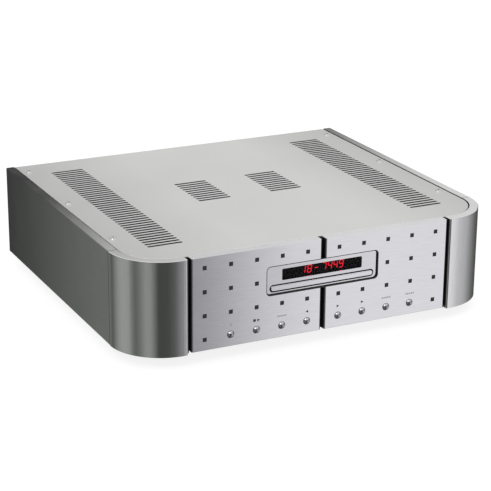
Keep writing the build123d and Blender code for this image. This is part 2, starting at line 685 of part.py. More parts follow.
def sled_gear():
    wheel = plate_z(gear_outline(), 0, 2.5)
    wheel -= post(0, 0, -1, 4, AXLE_BORE_R)
    return Pos(SLED_GEAR_X, SLED_GEAR_Y, 61) * Rot(0, 0, 180) * wheel


def tray_gear():
    """The compound wheel that drives the tray: a pinion over a grooved belt wheel."""
    wheel = plate_z(gear_outline(), 69.6, 71.1)
    wheel += post(0, 0, 66.4, 69.7, 5)
    wheel += post(0, 0, 62, 66.5, 11)
    wheel -= post(0, 0, 63.3, 65.2, 12) - post(0, 0, 63, 66, 9.8)
    wheel -= post(0, 0, 61, 72, AXLE_BORE_R)
    return Pos(TRAY_GEAR_X, TRAY_GEAR_Y, 0) * wheel


def motor_pulley():
    solid = post(0, 0, 62, 66.5, 4)
    solid -= post(0, 0, 63.3, 65.2, 5) - post(0, 0, 63, 66, 2.8)
    solid += post(0, 0, 50, 62.01, 1)
    return Pos(MOTOR_X, MOTOR_Y, 0) * solid


def loading_motor():
    solid = post(MOTOR_X, MOTOR_Y, FRAME_FLOOR, 58, 10)
    solid = fillet(solid.edges().sort_by(Axis.Z)[-1], 1)
    solid += post(MOTOR_X, MOTOR_Y, 57.9, 60, 3)
    return solid - post(MOTOR_X, MOTOR_Y, 49, 61, 1.1)


def drive_belt():
    """The belt round the two grooved wheels."""
    def loop(big_r, small_r):
        wheels = Curve() + [
            Pos(TRAY_GEAR_X, TRAY_GEAR_Y) * CenterArc((0, 0), big_r, 0, 360),
            Pos(MOTOR_X, MOTOR_Y) * CenterArc((0, 0), small_r, 0, 360),
        ]
        return make_hull(wheels.edges())

    outer = plate_z(loop(11.1, 4.1), 63.6, 64.9)
    return outer - plate_z(loop(9.9, 2.9), 63, 66)


# ---- Electronics ---------------------------------------------------------------------------------
TRANSFORMER_X, TRANSFORMER_Y = -138.0, 29.0


def transformer():
    """A toroidal mains transformer."""
    section = Pos(34, 38) * RectangleRounded(34, 44, 9)
    ring = revolve(Plane.XZ * section, Axis.Z)
    return Pos(TRANSFORMER_X, TRANSFORMER_Y, 0) * ring


def transformer_bolt():
    """The clamping disc and bolt through the transformer's middle."""
    disc = post(0, 0, 60.2, 62.2, 34)
    disc = fillet(disc.edges().sort_by(Axis.Z)[-1], 1)
    disc += post(0, 0, FLOOR_TOP, 68, 3)
    disc += plate_z(RegularPolygon(5.5, 6), 62.1, 67)
    return Pos(TRANSFORMER_X, TRANSFORMER_Y, 0) * disc


def power_board():
    return block(-205, -80, 82, 182, BOARD_Z, BOARD_TOP)


def filter_capacitors():
    """Reservoir capacitors on the power board."""
    cans = []
    for x in (-185, -155, -125, -100):
        for y in (105, 132):
            can = post(x, y, BOARD_TOP, BOARD_TOP + 35, 11)
            can = fillet(can.edges().sort_by(Axis.Z)[-1], 1.2)
            cans.append(can - block(x - 7, x + 7, y - 0.4, y + 0.4, BOARD_TOP + 34.6, BOARD_TOP + 40))
    return group(cans)


def main_board():
    """The board on the floor with its chips, relays and small capacitors."""
    chips = (
        (100, 60, 20, 20, 2.5), (140, 60, 14, 14, 2.5), (100, 100, 12, 24, 4), (130, 100, 12, 24, 4),
        (160, 100, 12, 24, 4), (60, 130, 20, 12, 12), (90, 130, 20, 12, 12), (170, 40, 24, 24, 3),
    )
    parts = [block(-72, 203, -5, 182, BOARD_Z, BOARD_TOP)]
    parts += [
        block(x - w / 2, x + w / 2, y - d / 2, y + d / 2, BOARD_TOP, BOARD_TOP + h) for x, y, w, d, h in chips
    ]
    parts += [post(x, 20, BOARD_TOP, BOARD_TOP + 14, 5) for x in (90, 106, 122, 138)]
    return group(parts)


def standoffs():
    """Pillars under the two boards on the floor and under the disc drive."""
    boards = [(-200, 87), (-85, 87), (-200, 177), (-85, 177), (-67, 0), (198, 0), (-67, 177), (198, 177)]
    drive = [(-90, -166), (62, -166), (-90, -20), (62, -20)]
    pillars = [post(x, y, FLOOR_TOP, BOARD_Z, 3) for x, y in boards]
    pillars += [post(x, y, FLOOR_TOP, FRAME_LOW - DRIVE_DROP, 4) for x, y in drive]
    return group(pillars)


def heat_sinks():
    """Finned heat sinks under the lid's two middle vents."""
    sinks = []
    for side in (-1, 1):
        sink = block(-3, 3, -30, 30, BOARD_TOP, 78)
        for fin in range(7):
            y = -30 + 9.5 * fin
            sink += block(-17, 17, y, y + 2.5, BOARD_TOP, 78)
        sinks.append(Pos(side * MID_VENT_X, 30, 0) * sink)
    return group(sinks)


def lead(points, r, bend):
    """A round lead along a path with rounded corners."""
    path = FilletPolyline(*points, radius=bend)
    start = Plane(origin=path @ 0, z_dir=path % 0)
    return sweep(start * Circle(r), path=path)


def wiring():
    """Ribbon cables to the drive and to the front, and the mains and transformer leads."""
    drive_floor = FRAME_FLOOR - DRIVE_DROP
    to_drive = block(-12, 12, -16, 6, 37.4, 38)
    to_drive += block(-12, 12, 5.4, 6, BOARD_TOP, 38)
    to_drive += block(-12, 12, -16, -15.4, drive_floor, 38)
    to_front = block(20, 44, -179 + BOARD_T, 2, 22, 22.6) + block(20, 44, 1.4, 2, 22, BOARD_Z)
    inlet_lead_x = INLET_X + 4
    mains = [(inlet_lead_x, 172, 52), (inlet_lead_x, 158, 52), (ROCKER_X, 158, 52), (ROCKER_X, 174, 52)]
    leads = [
        lead(mains, 1.4, 5),
        lead([(ROCKER_X - 3, 174, 57), (ROCKER_X - 3, 151, 57), (ROCKER_X - 3, 151, BOARD_TOP)], 1.4, 5),
    ]
    for step in (-9, -3, 3, 9):
        x = TRANSFORMER_X + step
        rim_y = TRANSFORMER_Y + math.sqrt(51 ** 2 - step ** 2) + 0.2
        leads.append(lead([(x, rim_y, 45), (x, 88, 45), (x, 88, BOARD_TOP)], 1.2, 4))
    return group([to_drive, to_front] + leads)


# ---- Rear connectors -----------------------------------------------------------------------------
def jack_shells():
    """Phono jacks: a nut against the rear plate and a tubular shell round a bore."""
    jacks = []
    for x in JACKS:
        jack = plate_y(Pos(x, JACK_Z) * RegularPolygon(6.5, 6), REAR_FACE + 0.8, REAR_FACE + 3)
        jack += pin_y(x, JACK_Z, REAR_INNER - 12, JACK_TIP_Y, JACK_SHELL_R)
        jack -= pin_y(x, JACK_Z, REAR_INNER - 6, JACK_TIP_Y + 1, 3.4)
        jacks.append(jack)
    return group(jacks)


def jack_insulators():
    """The coloured washer and the centre of each phono jack."""
    rings = []
    for x in JACKS:
        washer = pin_y(x, JACK_Z, REAR_FACE, REAR_FACE + 0.8, 7) - pin_y(x, JACK_Z, 190, 200, JACK_SHELL_R)
        core = pin_y(x, JACK_Z, REAR_INNER - 6, JACK_TIP_Y - 0.6, 3.4) - pin_y(
            x, JACK_Z, REAR_INNER + 2, JACK_TIP_Y + 1, JACK_BORE_R
        )
        rings += [washer, core]
    return group(rings)


def mains_inlet():
    """The three-pin mains inlet: a flange, a body through the plate and a socket."""
    cx, cz = INLET_X, INLET_Z
    solid = plate_y(rounded(cx - 15.5, cx + 15.5, cz - 12, cz + 12, 2), REAR_FACE, REAR_FACE + 2.5)
    solid += block(cx - 13.5, cx + 13.5, 172, REAR_FACE + 0.01, cz - 9.9, cz + 9.9)
    socket = rounded(cx - 12.2, cx + 12.2, cz - 8.4, cz + 8.4, 1)
    return solid - plate_y(socket, 178, REAR_FACE + 5) - inlet_pins()


def inlet_pins():
    """The inlet's three flat pins, through its back wall."""
    places = ((INLET_X - 7, INLET_Z - 3), (INLET_X + 7, INLET_Z - 3), (INLET_X, INLET_Z + 1))
    return group([block(x - 1, x + 1, 170, 191, z - 2, z + 2) for x, z in places])


def rocker_frame():
    """The mains switch's frame, with a well for its rocker."""
    cx, cz = ROCKER_X, ROCKER_Z
    solid = plate_y(rounded(cx - 8, cx + 8, cz - 15, cz + 15, 1.5), REAR_FACE, REAR_FACE + 2)
    solid += block(cx - 6.3, cx + 6.3, 174, REAR_FACE + 0.01, cz - 12.9, cz + 12.9)
    solid -= block(cx - 5.4, cx + 5.4, 178.5, REAR_FACE + 5, cz - 11.6, cz + 11.6)
    return solid - pin_x(ROCKER_AXIS_Y, cz, cx - 6.2, cx + 6.2, 1.26)


def mains_rocker():
    """The rocker, pressed in at its top."""
    profile = [(-3, -6), (-3, 6), (6.4, 8.5), (4.9, 0), (6.4, -8.5)]
    face = make_face(Polyline(*profile, close=True))
    body = extrude(Plane(origin=(-5.1, 0, 0), x_dir=(0, 1, 0), z_dir=(1, 0, 0)) * face, amount=10.2)
    body += pin_x(0, 0, -6.1, 6.1, 1.2)
    return Pos(ROCKER_X, ROCKER_AXIS_Y, ROCKER_Z) * Rot(10, 0, 0) * body


# ---- Every node ----------------------------------------------------------------------------------
BUTTON_NAMES = ("button_power", "button_stop", "button_mode", "button_back",
                "button_play", "button_forward", "button_display", "button_open")


def all_nodes():
    nodes = {
        "base_pan": base_pan(),
        "rear_panel": rear_panel(),
        "rear_screws": rear_screws(),
        "side_panel_right": side_panel(),
        "side_panel_left": mirrored(side_panel()),
        "corner_right": corner_piece(),
        "corner_left": mirrored(corner_piece()),
        "front_panel_right": front_panel(),
        "front_panel_left": mirrored(front_panel()),
        "grid_studs": grid_studs(),
        "sub_front": sub_front(),
        "front_trims": front_trims(),
        "bezel": bezel(),
        "display_window": display_window(),
        "display_module": display_module(),
        "top_cover": top_cover(),
        "lid_screws": lid_screws(),
        "lid_rails": lid_rails(),
        "feet": feet(),
        "foot_pads": foot_pads(),
        "foot_screws": foot_screws(),
        "front_boards": front_boards(),
        "transformer": transformer(),
        "transformer_bolt": transformer_bolt(),
        "power_board": power_board(),
        "filter_capacitors": filter_capacitors(),
        "main_board": main_board(),
        "standoffs": standoffs(),
        "heat_sinks": heat_sinks(),
        "wiring": wiring(),
        "jack_shells": jack_shells(),
        "jack_insulators": jack_insulators(),
        "mains_inlet": mains_inlet(),
        "inlet_pins": inlet_pins(),
        "rocker_frame": rocker_frame(),
        "mains_rocker": mains_rocker(),
    }
    drive = {
        "transport_chassis": transport_chassis(),
        "clamp_bridge": clamp_bridge(),
        "clamp_puck": clamp_puck(),
        "loading_motor": loading_motor(),
        "motor_pulley": motor_pulley(),
        "drive_belt": drive_belt(),
        "tray_gear": tray_gear(),
        "disc_tray": disc_tray(),
        "traverse_cradle": traverse_cradle(),
        "sled_rods": sled_rods(),
        "spindle_motor": spindle_motor(),
        "turntable": turntable(),
        "laser_sled": laser_sled(),
        "objective_lens": objective_lens(),
        "sled_gear": sled_gear(),
    }
    for name, shape in drive.items():
        nodes[name] = group([Pos(0, 0, -DRIVE_DROP) * solid for solid in shape.solids()])
    nodes["tray_front"] = tray_front()
    xs = sorted([-x for x in button_xs()] + button_xs())
    for name, x in zip(BUTTON_NAMES, xs):
        nodes[name] = button(x)
    return nodes


os.makedirs("parts", exist_ok=True)
for node, shape in all_nodes().items():
    export_step(shape, f"parts/{node}.step")
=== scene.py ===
"""Looks for a hi-fi compact disc player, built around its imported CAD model.

Metres, in the CAD frame: X across the front, Y back from the front, Z up.
"""

import math

import bmesh
import bpy
from mathutils import Matrix, Vector

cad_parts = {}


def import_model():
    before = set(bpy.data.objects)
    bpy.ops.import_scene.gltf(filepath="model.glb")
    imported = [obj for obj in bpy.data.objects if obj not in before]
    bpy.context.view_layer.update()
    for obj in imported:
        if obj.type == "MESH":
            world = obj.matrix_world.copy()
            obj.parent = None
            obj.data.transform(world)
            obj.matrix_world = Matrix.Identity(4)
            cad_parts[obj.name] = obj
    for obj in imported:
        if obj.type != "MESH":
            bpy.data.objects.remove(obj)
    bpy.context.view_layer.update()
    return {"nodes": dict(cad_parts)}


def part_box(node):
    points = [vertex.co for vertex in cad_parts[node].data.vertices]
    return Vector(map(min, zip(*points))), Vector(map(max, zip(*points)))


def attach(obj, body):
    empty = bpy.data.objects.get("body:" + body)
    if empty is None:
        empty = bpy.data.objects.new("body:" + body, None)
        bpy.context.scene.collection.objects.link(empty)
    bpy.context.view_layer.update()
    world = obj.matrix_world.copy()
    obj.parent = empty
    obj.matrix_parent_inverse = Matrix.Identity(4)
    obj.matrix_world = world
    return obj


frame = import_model()
NODES = frame["nodes"]

MM = 0.001

# Places read from the CAD model
SEAM_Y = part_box("side_panel_left")[0].y
FRONT_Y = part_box("front_panel_left")[0].y
WINDOW_LOW, WINDOW_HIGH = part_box("display_window")
MODULE_FRONT_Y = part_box("display_module")[0].y
LID_TOP_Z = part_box("top_cover")[1].z
BOARD_THICK = 1.6 * MM
BOARD_TOP_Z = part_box("main_board")[0].z + BOARD_THICK
BUTTONS = [name for name in NODES if name.startswith("button_")]

# The range of a noise that holds most of its values
NOISE_LOW, NOISE_HIGH = 0.3, 0.7

# Distances from the middle over which painted shade darkens the lid, and its level at the sides
SIDES_START, SIDES_END, SIDES_LEVEL = 80 * MM, 210 * MM, 0.84

# Places in Y over which a side panel comes out of the joint's painted shadow, and its level in there
SEAM_START, SEAM_END, SEAM_LEVEL = SEAM_Y + 0.8 * MM, SEAM_Y + 1.6 * MM, 0.25

# The least Z in the normal of a face that counts as the lid's top
UPWARD = 0.7


# ---- Node trees ------------------------------------------------------------------------------
class Tree:
    """A small builder for a node tree."""

    def __init__(self, tree):
        self.tree = tree

    def add(self, kind, **settings):
        node = self.tree.nodes.new(kind)
        for key, value in settings.items():
            setattr(node, key, value)
        return node

    def put(self, socket, value):
        """Links another node's output to a socket, or sets the socket's own value."""
        if isinstance(value, bpy.types.NodeSocket):
            self.tree.links.new(value, socket)
        else:
            socket.default_value = value

    def calculate(self, operation, *values):
        node = self.add("ShaderNodeMath", operation=operation)
        for socket, value in zip(node.inputs, values):
            self.put(socket, value)
        return node.outputs[0]

    def remap(self, value, start, end, low=0.0, high=1.0, smooth=False):
        """Maps start to end onto low to high, and holds the ends."""
        node = self.add("ShaderNodeMapRange")
        node.interpolation_type = "SMOOTHSTEP" if smooth else "LINEAR"
        node.inputs["From Min"].default_value = start
        node.inputs["From Max"].default_value = end
        node.inputs["To Min"].default_value = low
        node.inputs["To Max"].default_value = high
        self.put(node.inputs["Value"], value)
        return node.outputs["Result"]

    def scale(self, colour, factor):
        node = self.add("ShaderNodeVectorMath", operation="SCALE")
        self.put(node.inputs[0], colour)
        self.put(node.inputs["Scale"], factor)
        return node.outputs["Vector"]

    def mix(self, factor, first, second):
        node = self.add("ShaderNodeMixRGB")
        self.put(node.inputs["Fac"], factor)
        self.put(node.inputs["Color1"], first)
        self.put(node.inputs["Color2"], second)
        return node.outputs["Color"]

    def axes(self, vector):
        node = self.add("ShaderNodeSeparateXYZ")
        self.put(node.inputs[0], vector)
        return node.outputs


class Material(Tree):
    """A material with one Principled shader."""

    def __init__(self, name):
        self.material = bpy.data.materials.new(name)
        self.material.use_nodes = True
        super().__init__(self.material.node_tree)
        self.shader = self.tree.nodes["Principled BSDF"]

    def set(self, socket, value):
        self.put(self.shader.inputs[socket], value)

    def place(self, stretch=(1, 1, 1)):
        """Object coordinates in metres, multiplied by stretch."""
        coords = self.add("ShaderNodeTexCoord")
        mapping = self.add("ShaderNodeMapping")
        mapping.inputs["Scale"].default_value = stretch
        self.put(mapping.inputs["Vector"], coords.outputs["Object"])
        return mapping.outputs["Vector"]

    def noise(self, vector, scale, detail=3.0, roughness=0.55):
        node = self.add("ShaderNodeTexNoise")
        node.inputs["Scale"].default_value = scale
        node.inputs["Detail"].default_value = detail
        node.inputs["Roughness"].default_value = roughness
        self.put(node.inputs["Vector"], vector)
        return node.outputs["Fac"]

    def spread(self, noise, low, high):
        """Maps the middle of a noise onto low to high."""
        return self.remap(noise, NOISE_LOW, NOISE_HIGH, low, high)

    def shades(self, noise, dark, light):
        """A colour between dark and light, from the middle of a noise."""
        ramp = self.add("ShaderNodeValToRGB")
        first, last = ramp.color_ramp.elements
        first.position, last.position = NOISE_LOW, NOISE_HIGH
        first.color, last.color = (*dark, 1), (*light, 1)
        self.put(ramp.inputs["Fac"], noise)
        return ramp.outputs["Color"]

    def paint_side_shade(self, colour):
        """Paints shade into a colour: a little darker towards the player's two sides."""
        distance = self.calculate("ABSOLUTE", self.axes(self.place())["X"])
        return self.scale(colour, self.remap(distance, SIDES_START, SIDES_END, 1.0, SIDES_LEVEL))

    def paint_seam_shadow(self, colour):
        """Paints a shadow line into a colour along the joint between a side panel and its corner."""
        y = self.axes(self.place())["Y"]
        return self.scale(colour, self.remap(y, SEAM_START, SEAM_END, SEAM_LEVEL, 1.0))

    def bump(self, height, distance):
        node = self.add("ShaderNodeBump")
        node.inputs["Distance"].default_value = distance
        node.inputs["Strength"].default_value = 1.0
        self.put(node.inputs["Height"], height)
        self.set("Normal", node.outputs["Normal"])


def scaled(colour, factor):
    return tuple(min(1.0, c * factor) for c in colour)


# ---- Materials -------------------------------------------------------------------------------
def brushed_metal(name, colour, rough, streaks, grain=900.0, depth=0.0000015, seam_shadow=False):
    """Metal with fine lines. Streaks is how much finer the lines are along X, Y and Z."""
    m = Material(name)
    lines = m.noise(m.place(streaks), grain, 4.0)
    cloud = m.noise(m.place(), 22.0, 2.0)
    shade = m.shades(lines, scaled(colour, 0.955), scaled(colour, 1.035))
    # On request, a painted shadow line along the joint with the corner
    m.set("Base Color", m.paint_seam_shadow(shade) if seam_shadow else shade)
    m.set("Metallic", 1.0)
    m.set("Roughness", m.spread(cloud, rough * 0.9, rough * 1.12))
    m.bump(lines, depth)
    return m.material


def lid_metal(name, colour, edge, rough, grain, depth):
    """Matt sheet metal. As painted shade, its faces that do not face up, in its slots and round its rim,
    take a darker colour, and its top darkens towards the sides.
    """
    m = Material(name)
    grit = m.noise(m.place(), grain, 5.0, 0.7)
    cloud = m.noise(m.place(), 9.0, 3.0)
    face = m.add("ShaderNodeNewGeometry").outputs["True Normal"]
    upward = m.calculate("GREATER_THAN", m.axes(face)["Z"], UPWARD)
    # Painted shade: the top darkens towards the two sides
    top = m.paint_side_shade(m.shades(grit, scaled(colour, 0.97), scaled(colour, 1.03)))
    # Painted shade: faces that do not face up, in the slots and round the rim, take a darker copy of the
    # metal
    m.set("Base Color", m.mix(upward, (*edge, 1), top))
    m.set("Metallic", 1.0)
    m.set("Roughness", m.spread(cloud, rough * 0.94, rough * 1.06))
    m.bump(grit, depth)
    return m.material


def plain_metal(name, colour, rough):
    """Plated or turned metal, with light wear in its gloss."""
    m = Material(name)
    cloud = m.noise(m.place(), 160.0, 4.0)
    m.set("Base Color", m.shades(cloud, scaled(colour, 0.93), scaled(colour, 1.04)))
    m.set("Metallic", 1.0)
    m.set("Roughness", m.spread(cloud, rough * 0.8, rough * 1.25))
    return m.material


def moulding(name, colour, rough, grain=900.0, depth=0.00004, gloss=0.5):
    """Moulded plastic, rubber or powder coat, with a fine spark texture."""
    m = Material(name)
    grit = m.noise(m.place(), grain, 3.0)
    cloud = m.noise(m.place(), 30.0, 3.0)
    m.set("Base Color", m.shades(cloud, scaled(colour, 0.9), scaled(colour, 1.12)))
    m.set("Roughness", m.spread(grit, rough * 0.9, rough * 1.1))
    m.set("Specular IOR Level", gloss)
    m.bump(grit, depth)
    return m.material


def dark_glass(name, cover, gloss):
    """Tinted plastic: dark and glossy, and clear enough for lit digits."""
    m = Material(name)
    haze = m.noise(m.place(), 60.0, 3.0)
    m.set("Base Color", m.shades(haze, (0.003, 0.002, 0.003), (0.005, 0.004, 0.005)))
    m.set("Roughness", m.spread(haze, 0.03, 0.06))
    m.set("Specular IOR Level", gloss)
    m.set("Alpha", cover)
    return m.material


def glow(name, colour, strength):
    """A lit segment, a little uneven in colour."""
    m = Material(name)
    cloud = m.noise(m.place(), 1400.0, 2.0)
    m.set("Base Color", (*scaled(colour, 0.4), 1))
    m.set("Emission Color", m.shades(cloud, scaled(colour, 0.9), colour))
    m.set("Emission Strength", strength)
    return m.material


def circuit_board(name, parts_above):
    """Solder resist with faint copper tracks beneath it, and black parts above a height."""
    m = Material(name)
    tracks = m.add("ShaderNodeTexBrick")
    tracks.inputs["Scale"].default_value = 90.0
    tracks.inputs["Mortar Size"].default_value = 0.012
    tracks.inputs["Color1"].default_value = (0.010, 0.090, 0.035, 1)
    tracks.inputs["Color2"].default_value = (0.014, 0.115, 0.045, 1)
    tracks.inputs["Mortar"].default_value = (0.035, 0.20, 0.08, 1)
    m.put(tracks.inputs["Vector"], m.place())
    on_part = m.calculate("GREATER_THAN", m.axes(m.place())["Z"], parts_above)
    m.set("Base Color", m.mix(on_part, tracks.outputs["Color"], (0.018, 0.018, 0.02, 1)))
    m.set("Roughness", m.spread(m.noise(m.place(), 200.0), 0.28, 0.42))
    m.bump(tracks.outputs["Fac"], 0.00006)
    return m.material


FRONT_SILVER = (0.80, 0.797, 0.81)
SHELL_SILVER = (0.79, 0.79, 0.785)
LID_SILVER = (0.89, 0.89, 0.88)
# Painted shade for the lid's faces that do not face up
PAINTED_EDGE_SHADE = (0.2, 0.2, 0.2)

# How much finer the lines of a brushed or drawn surface are along X, Y and Z
LINES_ALONG_X = (0.06, 1, 1.3)
LINES_ALONG_Y = (1.3, 0.06, 1.3)
LINES_ALONG_Z = (1.3, 1.3, 0.06)
TURNED_LINES = (1, 1, 8)
DRAWN_LINES = (1, 1, 6)
COARSE_DEPTH = 0.00001


def make_metals():
    return {
        "front": brushed_metal("front_satin", FRONT_SILVER, 0.11, LINES_ALONG_X),
        "corner": brushed_metal("corner_satin", SHELL_SILVER, 0.13, LINES_ALONG_Z),
        "side": brushed_metal("side_satin", SHELL_SILVER, 0.11, LINES_ALONG_Y, seam_shadow=True),
        "lid": lid_metal("lid_blasted", LID_SILVER, PAINTED_EDGE_SHADE, 0.5, 1500.0, 0.00002),
        "surround": brushed_metal("surround_satin", FRONT_SILVER, 0.16, LINES_ALONG_X),
        "tray_face": brushed_metal("tray_face_satin", (0.84, 0.84, 0.86), 0.16, LINES_ALONG_X),
        "foot": brushed_metal("foot_turned", (0.10, 0.10, 0.11), 0.3, TURNED_LINES, 400.0, COARSE_DEPTH),
        "sink": brushed_metal("sink_anodised", (0.05, 0.05, 0.055), 0.4, DRAWN_LINES, 300.0, COARSE_DEPTH),
        "button": plain_metal("button_polished", (0.62, 0.62, 0.64), 0.2),
        "screw": plain_metal("screw_plated", (0.68, 0.68, 0.68), 0.12),
        "zinc": plain_metal("zinc_plate", (0.58, 0.58, 0.56), 0.38),
        "motor": plain_metal("nickel_can", (0.66, 0.65, 0.63), 0.25),
        "rod": plain_metal("ground_rod", (0.80, 0.80, 0.81), 0.08),
        "gold": plain_metal("gold_plate", (0.86, 0.62, 0.26), 0.18),
        "pin": plain_metal("pin_plate", (0.78, 0.72, 0.55), 0.2),
    }


def make_plastics():
    return {
        "black_trim": moulding("black_trim", (0.010, 0.010, 0.011), 0.35),
        "stud": moulding("stud_black", (0.022, 0.022, 0.026), 0.55, 1600.0, 0.00002),
        "black_steel": moulding("black_powder_coat", (0.012, 0.012, 0.012), 0.5, 1300.0, 0.00005),
        "chassis_plastic": moulding("chassis_plastic", (0.03, 0.03, 0.033), 0.5),
        "tray_plastic": moulding("tray_plastic", (0.035, 0.035, 0.038), 0.45),
        "socket": moulding("socket_plastic", (0.012, 0.012, 0.012), 0.4),
        "nylon": moulding("nylon", (0.74, 0.71, 0.62), 0.45, 500.0),
        "rubber": moulding("rubber", (0.016, 0.016, 0.016), 0.75, 700.0, 0.0001),
        "jack_ring": moulding("jack_ring", (0.55, 0.02, 0.015), 0.4),
        "winding": moulding("winding_tape", (0.62, 0.36, 0.04), 0.3, 120.0, 0.0002),
        "sleeve": moulding("sleeve", (0.012, 0.014, 0.06), 0.25, 300.0),
        "lead": moulding("lead_pvc", (0.16, 0.16, 0.18), 0.45),
        "display": moulding("display_black", (0.003, 0.002, 0.002), 0.7, gloss=0.03),
        "board": circuit_board("circuit_board", BOARD_TOP_Z + 0.2 * MM),
        "front_board": circuit_board("front_circuit_board", LID_TOP_Z),
        "window": dark_glass("window_tinted", 0.45, 0.15),
        "lens": dark_glass("lens_coated", 0.8, 0.6),
        "digit": glow("digit_red", (1.0, 0.012, 0.030), 3.2),
        "ink": moulding("panel_ink", (0.025, 0.025, 0.03), 0.6),
        "faint_ink": moulding("panel_ink_faint", (0.30, 0.30, 0.33), 0.6),
    }


MATERIALS = {**make_metals(), **make_plastics()}

NODE_MATERIALS = {
    "front": ["front_panel_left", "front_panel_right"],
    "corner": ["corner_left", "corner_right"],
    "side": ["side_panel_left", "side_panel_right"],
    "lid": ["top_cover"],
    "surround": ["bezel"],
    "tray_face": ["tray_front"],
    "button": BUTTONS,
    "screw": ["lid_screws", "rear_screws", "foot_screws", "standoffs"],
    "zinc": ["base_pan", "lid_rails", "clamp_bridge", "traverse_cradle", "transformer_bolt"],
    "motor": ["loading_motor", "spindle_motor"],
    "rod": ["sled_rods"],
    "gold": ["jack_shells"],
    "pin": ["inlet_pins"],
    "foot": ["feet"],
    "sink": ["heat_sinks"],
    "black_trim": ["front_trims"],
    "stud": ["grid_studs"],
    "black_steel": ["sub_front", "rear_panel"],
    "chassis_plastic": ["transport_chassis", "clamp_puck", "turntable", "laser_sled"],
    "tray_plastic": ["disc_tray"],
    "socket": ["mains_inlet", "rocker_frame", "mains_rocker"],
    "nylon": ["tray_gear", "motor_pulley", "sled_gear"],
    "rubber": ["foot_pads", "drive_belt"],
    "jack_ring": ["jack_insulators"],
    "winding": ["transformer"],
    "sleeve": ["filter_capacitors"],
    "lead": ["wiring"],
    "display": ["display_module"],
    "board": ["power_board", "main_board"],
    "front_board": ["front_boards"],
    "window": ["display_window"],
    "lens": ["objective_lens"],
}


def dress_nodes():
    """Gives each CAD node its material."""
    for key, names in NODE_MATERIALS.items():
        for name in names:
            mesh = NODES[name].data
            mesh.materials.clear()
            mesh.materials.append(MATERIALS[key])


# ---- Pieces ----------------------------------------------------------------------------------
def new_piece(name, mesh_data, material, body):
    """Turns a bmesh into a piece that rides on a body."""
    mesh = bpy.data.meshes.new(name)
    mesh_data.to_mesh(mesh)
    mesh_data.free()
    mesh.materials.append(MATERIALS[material])
    piece = bpy.data.objects.new(name, mesh)
    bpy.context.scene.collection.objects.link(piece)
    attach(piece, body)


def add_prism(mesh, outline, y0, y1):
    """Adds an outline drawn in X and Z, thickened from y0 to y1, to a bmesh."""
    front = [mesh.verts.new((x, y0, z)) for x, z in outline]
    back = [mesh.verts.new((x, y1, z)) for x, z in outline]
    mesh.faces.new(front)
    mesh.faces.new(list(reversed(back)))
    count = len(outline)
    for i in range(count):
        j = (i + 1) % count
        mesh.faces.new((front[j], front[i], back[i], back[j]))


# Seven-segment characters. The segments are a (top), b, c, d (bottom), e, f and g (middle).
SEGMENTS = {"1": "bc", "4": "bcfg", "7": "abc", "8": "abcdefg", "9": "abcdfg", "-": "g"}
DIGIT_W, DIGIT_H, STROKE = 4.5 * MM, 8.0 * MM, 1.0 * MM
DIGIT_GAP = 0.16 * MM
DIGIT_LEAN = 0.12
DIGIT_THICK = 0.15 * MM
DIGITS_Z = (WINDOW_LOW.z + WINDOW_HIGH.z) / 2 - 0.3 * MM
DIGIT_PLACES_MM = [
    ("1", -20.5), ("8", -13.0), ("-", -4.5), ("7", 5.0), ("4", 12.2), ("4", 19.0), ("9", 26.2),
]


def bar_across(z):
    """A six-sided bar across an upright digit, at height z."""
    half, low, high = STROKE / 2, -DIGIT_W / 2 + DIGIT_GAP, DIGIT_W / 2 - DIGIT_GAP
    return [
        (low, z), (low + half, z + half), (high - half, z + half),
        (high, z), (high - half, z - half), (low + half, z - half),
    ]


def bar_upright(x, z0, z1):
    """A six-sided bar up the side of an upright digit, at x."""
    half, low, high = STROKE / 2, z0 + DIGIT_GAP, z1 - DIGIT_GAP
    return [
        (x, low), (x + half, low + half), (x + half, high - half),
        (x, high), (x - half, high - half), (x - half, low + half),
    ]


def segment_outlines():
    half_w, half_h = DIGIT_W / 2, DIGIT_H / 2
    return {
        "a": bar_across(half_h),
        "b": bar_upright(half_w, 0, half_h),
        "c": bar_upright(half_w, -half_h, 0),
        "d": bar_across(-half_h),
        "e": bar_upright(-half_w, -half_h, 0),
        "f": bar_upright(-half_w, 0, half_h),
        "g": bar_across(0),
    }


def digits():
    """The lit track number and time, just in front of the display's block."""
    mesh = bmesh.new()
    outlines = segment_outlines()
    for character, x_mm in DIGIT_PLACES_MM:
        for kind in SEGMENTS[character]:
            outline = [(x_mm * MM + x + DIGIT_LEAN * z, DIGITS_Z + z) for x, z in outlines[kind]]
            add_prism(mesh, outline, MODULE_FRONT_Y - DIGIT_THICK, MODULE_FRONT_Y)
    new_piece("display_digits", mesh, "digit", "chassis")


MARK_LIFT = 11.0 * MM
INK_THICK = 0.02 * MM
TRIANGLE = 1.6 * MM
WORD_STEP = 2.4 * MM


def add_mark(mesh, outline):
    """Prints an outline drawn in X and Z on the front panel."""
    add_prism(mesh, outline, FRONT_Y - INK_THICK, FRONT_Y + INK_THICK)


def add_triangle(mesh, x, z, turn=1):
    """A triangle that points right, or left with a turn of -1."""
    tip, base = x + turn * TRIANGLE, x - turn * TRIANGLE
    add_mark(mesh, [(base, z + TRIANGLE), (tip, z), (base, z - TRIANGLE)][::turn])


def add_bar(mesh, x, z, half_w, half_h):
    left, right = x - half_w, x + half_w
    add_mark(mesh, [(left, z - half_h), (left, z + half_h), (right, z + half_h), (right, z - half_h)])


